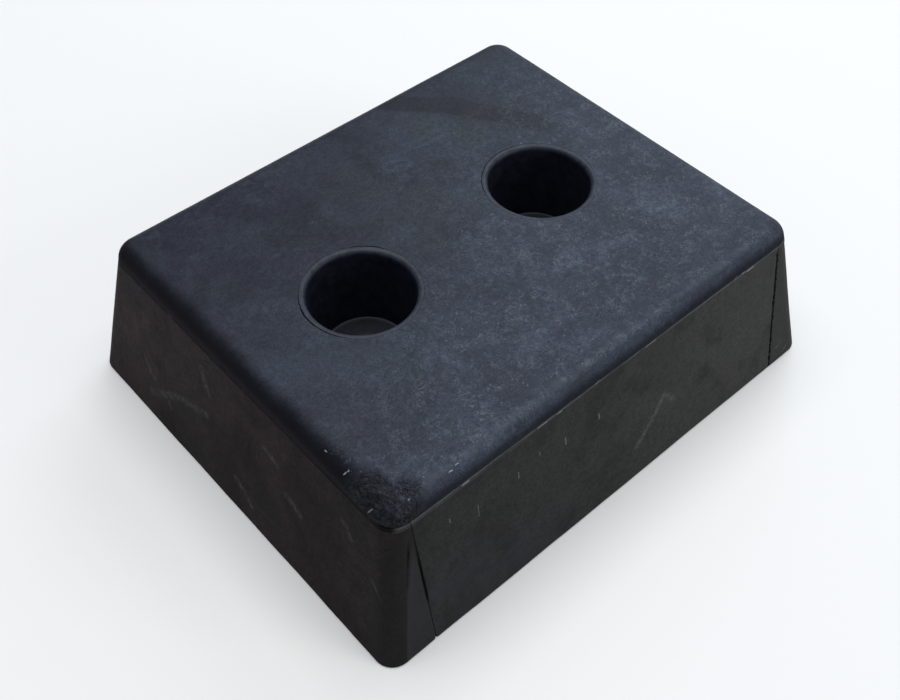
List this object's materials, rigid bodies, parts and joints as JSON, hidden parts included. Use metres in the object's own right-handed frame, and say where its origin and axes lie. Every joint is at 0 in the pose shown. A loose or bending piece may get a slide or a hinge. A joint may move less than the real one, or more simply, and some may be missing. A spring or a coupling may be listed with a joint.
{
  "type": "rubber bumper block",
  "caption": "Drafted rubber bumper block with a rounded impact face and deep counterbored bolt recesses, for a wall, dock edge or road surface.",
  "frame": {"origin": "centre of the mounting face, the large flat underside", "axes": "+X along the long side through both bolt recesses, +Y along the short side, +Z from the mounting face to the impact face"},
  "size_m": [0.3, 0.25, 0.09],
  "materials": {
    "top_rubber": "satin moulded rubber with a faint grey bloom",
    "side_rubber": "satin moulded rubber, scuffed",
    "liner_rubber": "smooth dark rubber",
    "core_rubber": "dull rubber",
    "cord_fabric": "woven tyre cord",
    "washer_steel": "dull dark coating"
  },
  "bodies": {
    "root": {"top_cover": "top_rubber", "end_cover_left": "side_rubber", "end_cover_right": "side_rubber", "side_cover_front": "side_rubber", "side_cover_back": "side_rubber", "base_sheet": "core_rubber", "core_slab_lower": "core_rubber", "core_slab_middle": "core_rubber", "core_slab_upper": "core_rubber", "cord_ply_lower": "cord_fabric", "cord_ply_upper": "cord_fabric", "recess_liner_left": "liner_rubber", "recess_liner_right": "liner_rubber", "seat_washer_left": "washer_steel", "seat_washer_right": "washer_steel"}
  },
  "joints": []
}
